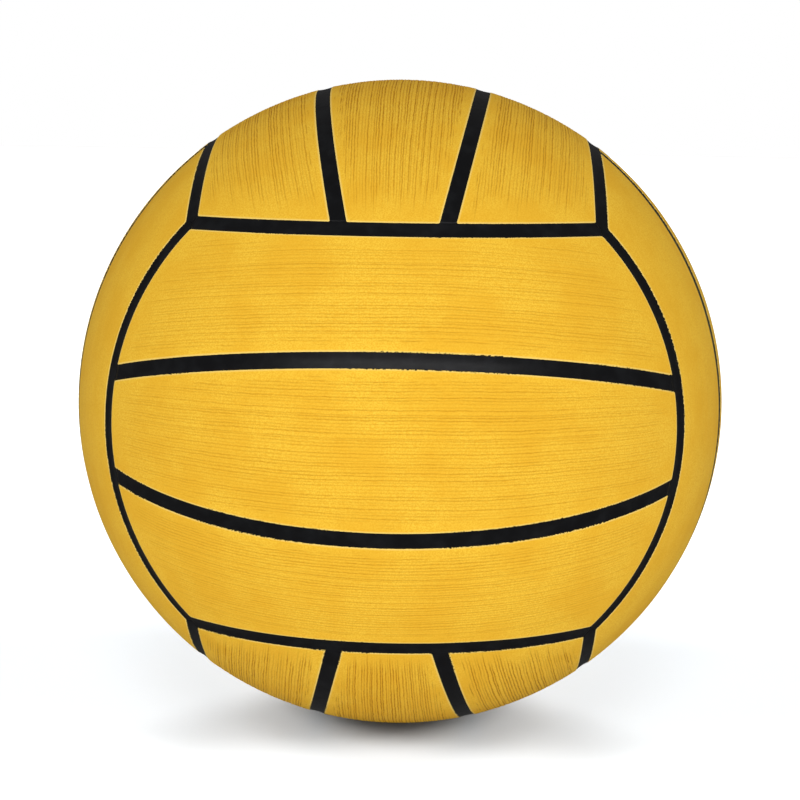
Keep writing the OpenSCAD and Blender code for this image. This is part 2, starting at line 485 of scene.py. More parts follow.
def open_hole(points, hole_radius):
    """Draws the grid's lines round a hole in the middle of the panel, and returns the block of
    cells that the hole takes out, as its first and last row and column."""
    x, y = points[..., 0], points[..., 1]
    middle = np.array(x.shape) // 2
    row = int(np.argmin(np.abs(y[:, middle[1]] - hole_radius)))
    column = int(np.argmin(np.abs(x[middle[0], :] - hole_radius)))
    # Square rings of grid points, counted from the middle, with the hole's rim as number 1
    row_place, column_place = np.indices(x.shape)
    ring = np.maximum(
        np.abs(row_place - middle[0]) / (row - middle[0]),
        np.abs(column_place - middle[1]) / (column - middle[1]),
    )
    weight = np.clip((HOLE_REACH - ring) / (HOLE_REACH - 1), 0, 1)
    weight = weight * weight * (3 - 2 * weight)
    distance = np.maximum(np.hypot(x, y), 1e-6)
    scale = np.where(ring < 1, 1, 1 - weight + weight * hole_radius * ring / distance)
    radius = np.linalg.norm(points, axis=-1)
    x, y = x * scale, y * scale
    points[...] = np.stack([x, y, np.sqrt(radius ** 2 - x ** 2 - y ** 2)], axis=-1)
    return 2 * middle[0] - row, row, 2 * middle[1] - column, column


def groove_arc(s, depth):
    """A groove's circular section: its centre's distance from the ball's centre, and its radius."""
    rise = math.sqrt((s["radius"] - s["rim_step"]) ** 2 - s["half_seam"] ** 2) - s["radius"] + depth
    radius = (s["half_seam"] ** 2 + rise ** 2) / (2 * rise)
    return s["radius"] - depth + radius, radius


def groove_reach(s, arc, off_angle):
    """Distance from the ball's centre to a groove's surface, at an angle off the seam's middle line."""
    centre, radius = arc
    root = radius ** 2 - (centre * np.sin(off_angle)) ** 2
    met = centre * np.cos(off_angle) - np.sqrt(np.maximum(root, 0))
    return np.where((root > 0) & (np.cos(off_angle) > 0), met, s["radius"])


def soft_least(first, second, fillet):
    """The lesser of two distances, rounded where they cross."""
    share = np.clip((fillet - np.abs(first - second)) / fillet, 0, 1)
    return np.minimum(first, second) - share * share * fillet / 4


def inner_seam_grid(s, side):
    """Points on the strip between the middle panel and a side panel, which runs along a great circle."""
    arc = groove_arc(s, s["inner_groove"])
    edge_arc = groove_arc(s, s["edge_groove"])
    row_share, row_pad = (v[:, None] for v in spacing(SEAM_STEPS[0]))
    column_share = np.linspace(-1, 1, SEAM_STEPS[1] + 1)[None, :]
    height = row_pad + row_share * (s["seam_width"] - 2 * RIM_INSETS[-1]) - s["half_seam"]
    ring = arc[0] - np.sqrt(arc[1] ** 2 - height ** 2)
    size = np.hypot(ring, height)
    end_height = size * math.cos(CORNER_ANGLE - s["seam_angle"])
    end = (end_height + height * math.sin(s["tilt"])) / (ring * math.cos(s["tilt"]))
    turn = column_share * np.arccos(end)
    x = ring * np.sin(turn)
    out = ring * np.cos(turn)
    y = out * math.sin(s["tilt"]) + height * math.cos(s["tilt"])
    z = out * math.cos(s["tilt"]) - height * math.sin(s["tilt"])
    points = np.stack([x, y * side, z], axis=-1)
    size = np.linalg.norm(points, axis=-1)
    off_edge = np.arccos(z / size) - CORNER_ANGLE
    reach = soft_least(size, groove_reach(s, edge_arc, off_edge), s["fillet"])
    return points * (reach / size)[..., None]


def edge_seam_grid(s, end):
    """Points on the strip along a face's end, on +X or -X, which runs along a circle round Z."""
    edge_arc = groove_arc(s, s["edge_groove"])
    inner_arc = groove_arc(s, s["inner_groove"])
    row_share, row_pad = (v[:, None] for v in spacing(EDGE_SEAM_STEPS[0]))
    column_share = np.linspace(-1, 1, EDGE_SEAM_STEPS[1] + 1)[None, :]
    off = (row_pad + row_share * (s["seam_width"] - 2 * RIM_INSETS[-1])) / s["half_seam"] - 1
    off = off * s["seam_angle"]
    pole = CORNER_ANGLE + off
    # The mitres: the planes 2y = x + z beyond the seam's middle line, and 2x = y + z before it
    limit = np.arccos(1 / (math.sqrt(5) * np.tan(pole)))
    last = np.where(off > 0, math.atan2(2, -1) - limit, math.atan2(-1, 2) + limit)
    turn = column_share * last
    x = np.sin(pole) * np.cos(turn)
    y = np.sin(pole) * np.sin(turn)
    z = np.cos(pole) + 0 * turn
    own = groove_reach(s, edge_arc, off) + 0 * turn
    next_axis = np.where(off > 0, x, np.abs(y))
    reach = soft_least(own, groove_reach(s, edge_arc, np.arccos(next_axis) - CORNER_ANGLE), s["fillet"])
    # The two inner seams run in from the face, and shoal towards the far rim of this one
    off_inner = np.arcsin(np.abs(y) * math.cos(s["tilt"]) - z * math.sin(s["tilt"]))
    shoal = np.maximum(off / s["seam_angle"] + SHOAL_START, 0) * s["inner_groove"]
    reach = soft_least(reach, groove_reach(s, inner_arc, off_inner) + shoal, s["fillet"])
    return np.stack([x * end, y, z], axis=-1) * reach[..., None]


# Meshes


def shell_mesh(name, points, under_radius, stride, fields=None, hole=None):
    """A closed sheet: a grid of points as its face, the same grid thinned out as its underside,
    and walls round its rims and round its hole."""
    rows, columns = points.shape[:2]
    under = points[::stride, ::stride]
    under = under * (under_radius / np.linalg.norm(under, axis=-1))[..., None]
    top = np.arange(rows * columns).reshape(rows, columns)
    low = rows * columns + np.arange(under.shape[0] * under.shape[1]).reshape(under.shape[:2])

    def cells(grid, step):
        made = []
        for r in range(grid.shape[0] - 1):
            for c in range(grid.shape[1] - 1):
                if hole and hole[0] <= r * step < hole[1] and hole[2] <= c * step < hole[3]:
                    continue
                made.append([grid[r, c], grid[r, c + 1], grid[r + 1, c + 1], grid[r + 1, c]])
        return made

    def wall(upper, lower):
        return [
            [*upper[k * stride:(k + 1) * stride + 1], lower[k + 1], lower[k]]
            for k in range(len(lower) - 1)
        ]

    faces = cells(top, 1)
    face_count = len(faces)
    faces += [cell[::-1] for cell in cells(low, stride)]
    whole = slice(None)
    rims = [(0, whole), (-1, whole), (whole, 0), (whole, -1)]
    if hole:
        across, along = slice(hole[0], hole[1] + 1), slice(hole[2], hole[3] + 1)
        rims += [(hole[0], along), (hole[1], along), (across, hole[2]), (across, hole[3])]
    for rim in rims:
        faces += wall(top[rim], low[rim])
    mesh = bpy.data.meshes.new(name)
    places = np.concatenate([points.reshape(-1, 3), under.reshape(-1, 3)]) * MM
    mesh.from_pydata(places.tolist(), [], [[int(v) for v in face] for face in faces])
    mesh.polygons.foreach_set("use_smooth", [i < face_count for i in range(len(faces))])
    # skin is 1 on the face and 0 on the underside, which stays smooth
    for key, values in {**(fields or {}), "skin": np.ones(points.shape[:2])}.items():
        attribute = mesh.attributes.new(key, "FLOAT", "POINT")
        lower = values[::stride, ::stride] * (key != "skin")
        both = np.concatenate([values.ravel(), lower.ravel()]).astype(np.float32)
        attribute.data.foreach_set("value", both)
    return tidied(mesh)


def tidied(mesh):
    """Drops loose points, welds doubles and points every face outwards."""
    work = bmesh.new()
    work.from_mesh(mesh)
    bmesh.ops.delete(work, geom=[v for v in work.verts if not v.link_faces], context="VERTS")
    bmesh.ops.remove_doubles(work, verts=work.verts, dist=WELD)
    bmesh.ops.recalc_face_normals(work, faces=work.faces)
    work.to_mesh(mesh)
    work.free()
    return mesh


def rounded(outline):
    """An outline's points, with an arc in each corner that has a radius. Each corner is its
    distance from the Y axis, its place along it, and the arc's radius, or 0."""
    corners = [Vector(corner[:2]) for corner in outline]
    made = []
    for k, point in enumerate(corners):
        radius = outline[k][2]
        if not radius:
            made.append(tuple(point))
            continue
        before = (corners[k - 1] - point).normalized()
        after = (corners[(k + 1) % len(corners)] - point).normalized()
        half = before.angle(after) / 2
        centre = point + (before + after).normalized() * (radius / math.sin(half))
        start = point + before * (radius / math.tan(half)) - centre
        sweep = start.angle_signed(point + after * (radius / math.tan(half)) - centre)
        for i in range(ROUNDING_STEPS + 1):
            turn = -sweep * i / ROUNDING_STEPS
            spot = Vector((
                start.x * math.cos(turn) - start.y * math.sin(turn),
                start.x * math.sin(turn) + start.y * math.cos(turn),
            ))
            made.append(tuple(centre + spot))
    return made


def lathe_mesh(name, outline):
    """A closed outline, given by its distances from the Y axis and along it, turned round that axis."""
    turns = np.linspace(0, 2 * math.pi, LATHE_STEPS, endpoint=False)
    count = len(outline)
    places = [(r * math.cos(t) * MM, h * MM, r * math.sin(t) * MM) for t in turns for r, h in outline]
    faces = []
    for t in range(LATHE_STEPS):
        ahead = (t + 1) % LATHE_STEPS
        for k in range(count):
            after = (k + 1) % count
            if outline[k][0] or outline[after][0]:
                faces.append([t * count + k, t * count + after, ahead * count + after, ahead * count + k])
    mesh = bpy.data.meshes.new(name)
    mesh.from_pydata(places, [], faces)
    mesh.polygons.foreach_set("use_smooth", [True] * len(faces))
    mesh = tidied(mesh)
    mesh.set_sharp_from_angle(angle=SHARP_ANGLE)
    return mesh


def placed(name, mesh, matrix):
    """An object at the origin whose mesh is a turned copy of another."""
    mesh = mesh.copy()
    mesh.transform(matrix)
    made = bpy.data.objects.new(name, mesh)
    bpy.context.scene.collection.objects.link(made)
    return made


# Geometry Nodes


def new_tree(name, labels):
    """A modifier tree with its inputs, and the function that adds a node to it."""
    tree = bpy.data.node_groups.new(name, "GeometryNodeTree")
    for in_out in ("INPUT", "OUTPUT"):
        tree.interface.new_socket("Geometry", in_out=in_out, socket_type="NodeSocketGeometry")
    for text in labels:
        tree.interface.new_socket(text, in_out="INPUT", socket_type="NodeSocketFloat")
    tree.interface.new_socket("Rubber", in_out="INPUT", socket_type="NodeSocketMaterial")
    entry = tree.nodes.new("NodeGroupInput")
    return tree, entry.outputs, partial(add_node, tree)


def close_tree(tree, node, geometry, material):
    """Ends a tree in Realize Instances and Set Material."""
    real = node("GeometryNodeRealizeInstances", {0: geometry})
    painted = node("GeometryNodeSetMaterial", {"Geometry": real, "Material": material})
    leave = tree.nodes.new("NodeGroupOutput")
    tree.links.new(painted, leave.inputs[0])


def raised(node, geometry, height):
    """Moves a sheet's face outwards by a height in millimetres, and leaves its underside."""
    skin = node("GeometryNodeInputNamedAttribute", {"Name": "skin"}, data_type="FLOAT")
    lift = node(MATH, (node(MATH, (height, skin), **TIMES), MM), **TIMES)
    outwards = node(VECTOR, (node("GeometryNodeInputPosition"),), operation="NORMALIZE")
    move = node(VECTOR, {0: outwards, "Scale": lift}, operation="SCALE")
    return node("GeometryNodeSetPosition", {"Geometry": geometry, "Offset": move})


def rib_pattern(node, field, size):
    """How far each point lies from the nearest furrow, in millimetres, and how strong that furrow
    is there, from 0 to 1. The mould's shape and the painted shade in the furrows are both made from this.

    Furrows are the points of a one-dimensional cell pattern across the strip. Noise makes them
    wander, come and go along their length, and die out short of the seams, each at its own place."""
    shift = node(MATH, (size["Seed"], SEED_STEP), **TIMES)
    line = field["across"]
    for along_length, across_length, share in WANDER_NOISES:
        where = node("ShaderNodeCombineXYZ", (
            node(MATH, (field["along"], 1 / along_length), **TIMES),
            node(MATH, (field["across"], 1 / across_length), **TIMES),
            shift,
        ))
        drift = node(NOISE, {"Vector": where, "Scale": 1.0, "Detail": 0.0})
        drift = node(MATH, (drift, 0.5), **SUBTRACT)
        line = node(MATH, (drift, node(MATH, (size["Wander"], share), **TIMES), line), **TIMES_ADD)
    lane = node(MATH, (line, size["Pitch"]), operation="DIVIDE")
    lane = node(MATH, (node(MATH, (lane, shift), **ADD), LANE_START), **ADD)
    cells = node(
        "ShaderNodeTexVoronoi",
        {"W": lane, "Scale": 1.0, "Randomness": FURROW_UNEVENNESS},
        voronoi_dimensions="1D",
    ).node
    off_furrow = node(MATH, (cells.outputs["Distance"], size["Pitch"]), **TIMES)

    noise = {}
    for name, (along_length, lane_step) in FURROW_NOISES.items():
        where = node("ShaderNodeCombineXYZ", (
            node(MATH, (field["along"], 1 / along_length), **TIMES),
            node(MATH, (cells.outputs["W"], lane_step), **TIMES),
            shift,
        ))
        noise[name] = node(NOISE, {"Vector": where, "Scale": 1.0, "Detail": 0.0})
    shares = [
        node(RANGE, (noise[name], *strengths), **SMOOTH)
        for name, strengths in FURROW_STRENGTHS.items()
    ]
    for name, (gap, border, scatter, fade) in BORDERS.items():
        inside = node(MATH, (field[gap], scatter / 2), **SUBTRACT)
        inside = node(MATH, (noise[name], scatter, inside), **TIMES_ADD)
        whole = node(MATH, (size[border], fade), **ADD)
        shares.append(node(RANGE, (inside, size[border], whole), **SMOOTH))
    whole = node(MATH, (size["End plain"], WHOLE_AFTER), **TIMES)
    shares.append(node(RANGE, (field["end_gap"], size["End plain"], whole, WEAK_END, 1.0)))
    strength = field["grip"]
    for share in shares:
        strength = node(MATH, (strength, share), **TIMES)
    return off_furrow, strength


def grip_tree():
    """Moulds furrows, ribs, grain and a rounded rim into a panel's face. Lengths are millimetres."""
    labels = [label(name) for name in (*KEPT_FIELDS, *GRIP_SIZES, *RIM_SIZES)]
    tree, size, node = new_tree("grip_relief", labels)
    field = {
        name: node("GeometryNodeInputNamedAttribute", {"Name": name}, data_type="FLOAT")
        for name in PANEL_FIELDS
    }
    field["grip"] = size["Grip"]
    off_furrow, strength = rib_pattern(node, field, size)
    half_width = node(MATH, (size["Furrow width"], 0.5), **TIMES)
    half_pitch = node(MATH, (size["Pitch"], 0.5), **TIMES)
    furrow = node(RANGE, (off_furrow, 0.0, half_width, 1.0, 0.0), **SMOOTH)
    crown = node(RANGE, (off_furrow, 0.0, half_pitch, -1.0, 0.0), **SMOOTH)
    in_mm = node(VECTOR, {0: node("GeometryNodeInputPosition"), "Scale": 1 / MM}, operation="SCALE")
    grain = node(NOISE, {"Vector": in_mm, "Scale": PEBBLE_SCALE, "Detail": 2.0})
    swell = node(NOISE, {"Vector": in_mm, "Scale": SWELL_SCALE, "Detail": 1.0})

    # The rim's section is a quarter of an ellipse, and a corner is cut down to the seam
    inwards = node(MATH, (field["rim_gap"], size["Rim radius"]), operation="DIVIDE", use_clamp=True)
    left = node(MATH, (1.0, inwards), **SUBTRACT)
    left = node(MATH, (left, left), **TIMES)
    arc = node(MATH, (node(MATH, (1.0, left), **SUBTRACT),), operation="SQRT")
    rim = node(MATH, (node(MATH, (arc, 1.0), **SUBTRACT), size["Rim drop"]), **TIMES)
    cut_corner = node(MATH, (field["rim_gap"], 0.0), operation="MINIMUM")

    height = node(MATH, (rim, cut_corner), **ADD)
    for relief, name, ratio in (
        (node(MATH, (furrow, strength), **TIMES), "Depth", -1.0),
        (node(MATH, (crown, strength), **TIMES), "Crown", 1.0),
        (grain, "Pebble", -1.0),
        (swell, "Pebble", -SWELL_RATIO),
    ):
        full = node(MATH, (size[name], ratio), **TIMES)
        height = node(MATH, (relief, full, height), **TIMES_ADD)
    # The material paints shade into the same furrows, so it needs the same choices
    kept = size["Geometry"]
    for name in KEPT_FIELDS:
        values = {"Geometry": kept, "Name": name, "Value": size[label(name)]}
        kept = node("GeometryNodeStoreNamedAttribute", values)
    close_tree(tree, node, raised(node, kept, height), size["Rubber"])
    return tree


def seam_tree():
    """Gives a seam strip its fine grain and the slow sagging of rubber that was pressed in."""
    tree, size, node = new_tree("seam_skin", SEAM_SKIN)
    in_mm = node(VECTOR, {0: node("GeometryNodeInputPosition"), "Scale": 1 / MM}, operation="SCALE")
    depths = []
    for height, reach in (("Grain", "Grain size"), ("Sag", "Sag length")):
        scale = node(MATH, (1.0, size[reach]), operation="DIVIDE")
        noise = node(NOISE, {"Vector": in_mm, "Scale": scale, "Detail": 1.0})
        depths.append(node(MATH, (noise, size[height]), **TIMES))
    height = node(MATH, (node(MATH, depths, **ADD), -1.0), **TIMES)
    close_tree(tree, node, raised(node, size["Geometry"], height), size["Rubber"])
    return tree


def moulded(obj, tree, values):
    """Runs a tree on an object, with values for its inputs, and keeps the result as its plain mesh."""
    modifier = obj.modifiers.new(tree.name, "NODES")
    modifier.node_group = tree
    for item in tree.interface.items_tree:
        if item.item_type == "SOCKET" and item.in_out == "INPUT" and item.name in values:
            modifier[item.identifier] = values[item.name]
    depsgraph = bpy.context.evaluated_depsgraph_get()
    mesh = bpy.data.meshes.new_from_object(
        obj.evaluated_get(depsgraph), preserve_all_data_layers=True, depsgraph=depsgraph
    )
    obj.modifiers.remove(modifier)
    obj.data = mesh
    return obj


def finished(obj, node_name):
    """Puts a piece in a CAD node's place."""
    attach(obj, "root")
    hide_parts(node_name)
    return obj


# Materials


def new_material(name):
    """A material, its Principled shader, the function that adds a node to it, and object
    coordinates in millimetres."""
    material = bpy.data.materials.new(name)
    material.use_nodes = True
    tree = material.node_tree
    node = partial(add_node, tree)
    place = node("ShaderNodeTexCoord", output="Object")
    mm = node("ShaderNodeMapping", {"Vector": place, "Scale": (1 / MM,) * 3})
    return material, tree.nodes["Principled BSDF"], node, mm


def moulded_yellow_rubber():
    """Natural rubber, coloured through and moulded against a ribbed tool. It gives a warm yellow
    with a dull sheen, faintly mottled, with painted shade in ochre in the furrows, a pale painted highlight
    along the rounded rims, and smeared with black where the seams were pressed in."""
    colours = bpy.context.scene.ball_colours
    grip = bpy.context.scene.grip_sizes
    material, shader, node, mm = new_material("moulded_yellow_rubber")
    link = material.node_tree.links.new
    field = {
        name: node("ShaderNodeAttribute", output="Fac", attribute_name=name)
        for name in (*PANEL_FIELDS, *KEPT_FIELDS)
    }
    size = labelled(grip, "pitch", "wander", "side_plain")
    size["Seed"] = field["seed"]
    size["End plain"] = field["end_plain"]
    off_furrow, strength = rib_pattern(node, field, size)
    half_width = SHADED_WIDTH * grip.furrow_width / MM / 2
    core = node(RANGE, (off_furrow, 0.0, half_width, 1.0, 0.0), **SMOOTH)
    core = node(MATH, (core, strength), **TIMES)
    noise = {
        name: node(NOISE, {"Vector": mm, "Scale": 1 / grain, "Detail": detail})
        for name, (grain, detail) in COVER_NOISES.items()
    }
    # Black creeps over the rim in ragged flecks, further in some stretches than in others
    reach = node(RANGE, (noise["stretches"], *CREEP_REACH), **SMOOTH)
    creep = node(MATH, (node(MATH, (noise["ragged"], CREEP_THRESHOLD), **SUBTRACT), reach), **TIMES)
    creep = node(MATH, (creep, field["black_creep"]), **TIMES)
    clear = node(MATH, (field["rim_gap"], creep), **SUBTRACT)
    follows = {**noise, "rim_gap": field["rim_gap"], "clear": clear}
    share = {name: node(RANGE, (follows[name], *values), **SMOOTH) for name, values in TINTS.items()}
    # Painted shade: ochre in the furrows, where shade falls
    share["furrow"] = node(MATH, (core, FURROW_SHADE), **TIMES)
    rubber = colours.cover
    for name, tone in (
        ("blotches", colours.cover_deep),
        ("flecks", colours.cover_deep),
        # Painted highlight along the rims
        ("rim_gap", colours.rim),
        ("furrow", colours.furrow),
        ("clear", colours.seam),
    ):
        rubber = node(MIX, {FACTOR: share[name], FIRST: rubber, SECOND: tone}, **COLOURS)
    link(rubber, shader.inputs["Base Color"])
    roughness = node(RANGE, (noise["blotches"], *COVER_ROUGHNESS), **SMOOTH)
    link(roughness, shader.inputs["Roughness"])
    shader.inputs["Specular IOR Level"].default_value = COVER_SHINE
    # Furrows count twice as much in the fine relief as the grain
    relief = node(MATH, (core, -2.0, noise["grain"]), **TIMES_ADD)
    bump = node("ShaderNodeBump", {"Height": relief, "Strength": 0.6, "Distance": 0.05 * MM})
    link(bump, shader.inputs["Normal"])
    return material


def black_rubber(name, base, bloom, roughness, shine, grain_size, grain_height):
    """Black rubber: almost black, with a greyish bloom in patches and a satin skin. The grain is
    in millimetres."""
    material, shader, node, mm = new_material(name)
    link = material.node_tree.links.new
    patches = node(NOISE, {"Vector": mm, "Scale": 1 / PATCH_SIZE, "Detail": 3.0})
    smears = node(NOISE, {"Vector": mm, "Scale": 1 / SMEAR_SIZE, "Detail": 2.0})
    grain = node(NOISE, {"Vector": mm, "Scale": 1 / grain_size, "Detail": 2.0})
    bloomed = node(RANGE, (patches, *PATCH_RANGE), **SMOOTH)
    tone = node(MIX, {FACTOR: bloomed, FIRST: base, SECOND: bloom}, **COLOURS)
    link(tone, shader.inputs["Base Color"])
    smeared = node(RANGE, (smears, 0.0, 1.0, *(roughness + change for change in SMEAR_RANGE)))
    link(smeared, shader.inputs["Roughness"])
    shader.inputs["Specular IOR Level"].default_value = shine
    bump = node("ShaderNodeBump", {"Height": grain, "Strength": 0.4, "Distance": grain_height * MM})
    link(bump, shader.inputs["Normal"])
    return material


def wound_nylon():
    """Nylon thread wound in great circles and bonded with latex: pale, with a faint shine.
    Real thread lies every 0.4 mm, and is drawn every 1.2 mm so that it shows."""
    colours = bpy.context.scene.ball_colours
    material, shader, node, mm = new_material("wound_nylon_thread")
    link = material.node_tree.links.new
    # A wave texture of scale 1 repeats every 2 pi / 20
    wave = {"Scale": 2 * math.pi / (20 * THREAD_PITCH), "Distortion": 0.6}
    tone = colours.thread_gap
    for turn in THREAD_TURNS:
        turned = node("ShaderNodeMapping", {"Vector": mm, "Rotation": turn})
        threads = node("ShaderNodeTexWave", {"Vector": turned, **wave}, output="Fac")
        laid = node(RANGE, (threads, *THREAD_EDGE))
        tone = node(MIX, {FACTOR: laid, FIRST: tone, SECOND: colours.thread}, **COLOURS)
    link(tone, shader.inputs["Base Color"])
    shader.inputs["Roughness"].default_value = 0.45
    link(node("ShaderNodeBump", {"Height": laid, "Distance": 0.1 * MM}), shader.inputs["Normal"])
    return material


def pale_floor():
    """Matt studio floor under light strong enough to show it white. Its grey keeps the ball's
    yellow out of the shadow, and it throws back less than it shows, because in the photograph
    the ball is hardly brighter below than above."""
    colours = bpy.context.scene.ball_colours
    material, shader, node, _ = new_material("matt_studio_floor")
    seen = node("ShaderNodeLightPath", output="Is Camera Ray")
    shown = node(MIX, {FACTOR: seen, FIRST: colours.floor_bounce, SECOND: colours.floor}, **COLOURS)
    material.node_tree.links.new(shown, shader.inputs["Base Color"])
    shader.inputs["Roughness"].default_value = 0.9
    shader.inputs["Specular IOR Level"].default_value = 0.0
    return material


# Operators


class BALL_OT_cover_panels(bpy.types.Operator):
    """Moulds the 18 ribbed cover panels"""

    bl_idname = "ball.cover_panels"
    bl_label = "Cover Panels"

    def execute(self, context):
        s = ball_sizes()
        tree = grip_tree()
        values = {
            **labelled(context.scene.grip_sizes, *GRIP_SIZES),
            **labelled(context.scene.ball_sizes, *RIM_SIZES),
            "Rubber": moulded_yellow_rubber(),
        }
        grids = {side: panel_grid(s, side, SIDE_STEPS if side else MIDDLE_STEPS) for side in (0, *SIDES)}
        valve_sheet = self.valve_sheet(s, grids[0].copy(), context.scene.valve_sizes.neck_radius / MM)
        sheets = {}
        for number, (face, (_, side_names, _)) in enumerate(FACES.items()):
            for side, name in zip((0, *SIDES), ("middle", *side_names)):
                lean = ODD_RIB_LEANS.get((face, name), RIB_LEAN)
                if (side, lean) not in sheets:
                    fields = panel_fields(s, side, grids[side], lean)
                    sheets[side, lean] = shell_mesh(
                        "panel_sheet", grids[side], s["under_radius"], UNDERSIDE_STRIDE, fields
                    )
                sheet = valve_sheet if side == 0 and face == VALVE_FACE else sheets[side, lean]
                piece = placed(f"cover_{face}_{name}", sheet, face_matrix(face))
                # Each of a face's three panels has a seed of its own
                seed = context.scene.grip_sizes.seed + 3 * number + side
                moulded(piece, tree, {**values, **FINISH[face], "Seed": float(seed)})
                finished(piece, f"{face}_{name}_panel")
        return {"FINISHED"}

    @staticmethod
    def valve_sheet(s, points, hole_radius):
        """The middle panel with the valve's hole, whose rim is finished like the panel's own."""
        hole = open_hole(points, hole_radius)
        fields = panel_fields(s, 0, points)
        for name in ("rim_gap", "side_gap"):
            from_hole = np.hypot(points[..., 0], points[..., 1]) - hole_radius
            fields[name] = np.minimum(fields[name], from_hole)
        return shell_mesh("valve_panel_sheet", points, s["under_radius"], 1, fields, hole)


class BALL_OT_seam_strips(bpy.types.Operator):
    """Presses the 24 black seam strips in between the panels"""

    bl_idname = "ball.seam_strips"
    bl_label = "Seam Strips"

    def execute(self, context):
        s = ball_sizes()
        colours = context.scene.ball_colours
        # Moulded flush with the cover: satin, with the bloom that sulphur leaves
        rubber = black_rubber(
            "moulded_seam_rubber", colours.seam, colours.seam_bloom,
            roughness=0.32, shine=0.3, grain_size=0.5, grain_height=0.05,
        )
        tree = seam_tree()
        values = {**SEAM_SKIN, "Rubber": rubber}
        for face, (_, side_names, end_names) in FACES.items():
            for kind, grid, names in (
                ("seam", inner_seam_grid, side_names),
                ("edge_seam", edge_seam_grid, end_names),
            ):
                for side, name in zip(SIDES, names):
                    sheet = shell_mesh(f"{kind}_sheet", grid(s, side), s["under_radius"], UNDERSIDE_STRIDE)
                    piece = placed(f"{kind}_{face}_{name}", sheet, face_matrix(face))
                    moulded(piece, tree, values)
                    finished(piece, f"{face}_{name}_{kind}")
        return {"FINISHED"}


class BALL_OT_valve(bpy.types.Operator):
    """Turns the valve's boot and plug"""

    bl_idname = "ball.valve"
    bl_label = "Valve"

    def execute(self, context):
        sizes = context.scene.valve_sizes
        v = settings(sizes, *sizes.__annotations__)
        colours = context.scene.ball_colours
        boot_low, boot_high = (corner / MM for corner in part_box("valve_boot"))
        plug_low, plug_high = (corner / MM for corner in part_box("valve_plug"))
        flange_radius = boot_high.x
        head_radius = plug_high.x - v["gap"]
        seat = boot_high.y - v["head"]
        flange_low = boot_low.y + self.tube_length()
        flange_top = flange_low + v["flange"]
        needle_end = boot_high.y - v["needle_depth"]
        stem, neck, lip = v["stem_radius"], v["neck_radius"], v["lip"]
        boot = [
            (stem, boot_low.y, 0),
            (neck, boot_low.y, lip),
            (neck, flange_low, lip),
            (flange_radius, self.height(flange_radius, flange_low), 0),
            (flange_radius, self.height(flange_radius, flange_top), 0),
            (neck, self.height(neck, flange_top), 0),
            (neck, boot_high.y, lip),
            (plug_high.x, boot_high.y, lip / 2),
            (plug_high.x, seat, 0),
            (stem, seat, 0),
        ]
        plug = [
            (0, plug_low.y, 0),
            (stem, plug_low.y, lip),
            (v["barb_radius"], boot_low.y, lip),
            (stem, boot_low.y, 0),
            (stem, seat, 0),
            (head_radius, seat, 0),
            (head_radius, boot_high.y, lip),
            (v["needle_radius"], boot_high.y, lip),
            (v["needle_radius"], needle_end, 0),
            (0, needle_end, 0),
        ]
        # Both are moulded: the boot in a firm, matt rubber, and the plug in a softer one that shines
        boot_rubber = black_rubber(
            "moulded_boot_rubber", colours.boot, colours.seam_bloom,
            roughness=0.5, shine=0.3, grain_size=0.4, grain_height=0.04,
        )
        plug_rubber = black_rubber(
            "soft_plug_rubber", colours.plug, colours.boot,
            roughness=0.36, shine=0.4, grain_size=0.3, grain_height=0.02,
        )
        for name, outline, slot, rubber in (
            ("boot", boot, "valve_rubber", boot_rubber),
            ("plug", plug, "plug_rubber", plug_rubber),
        ):
            mesh = lathe_mesh(name, rounded(outline))
            piece = placed(f"valve_{name}_turned", mesh, Matrix())
            piece.data.materials.append(rubber)
            finished(piece, f"valve_{name}")
        return {"FINISHED"}

    @staticmethod
    def tube_length():
        """Length of the boot's tube, from its end to the flange, as the CAD node's points show it."""
        heights = sorted({round(v.co.y / MM, 3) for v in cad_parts["valve_boot"].data.vertices})
        return heights[1] - heights[0]

    @staticmethod
    def height(radius, sphere):
        """Height of a sphere's surface at a distance from the Y axis."""
        return math.sqrt(sphere ** 2 - radius ** 2)


class BALL_OT_inner_layers(bpy.types.Operator):
    """Gives the carcass, the winding and the bladder their materials"""

    bl_idname = "ball.inner_layers"
    bl_label = "Inner Layers"

    def execute(self, context):
        colours = context.scene.ball_colours
        layers = {
            # Calendered sheet, dull from the talc it is stored in
            "carcass": black_rubber(
                "calendered_carcass_rubber", colours.carcass, colours.seam_bloom,
                roughness=0.7, shine=0.3, grain_size=0.8, grain_height=0.05,
            ),
            "winding": wound_nylon(),
            # Butyl is smooth and slightly shiny, as it was cured against a polished former
            "bladder": black_rubber(
                "cured_butyl_rubber", colours.butyl, colours.carcass,
                roughness=0.4, shine=0.4, grain_size=1.5, grain_height=0.03,
            ),
        }
        for name, material in layers.items():
            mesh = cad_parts[name].data
            mesh.materials.clear()
            mesh.materials.append(material)
        return {"FINISHED"}


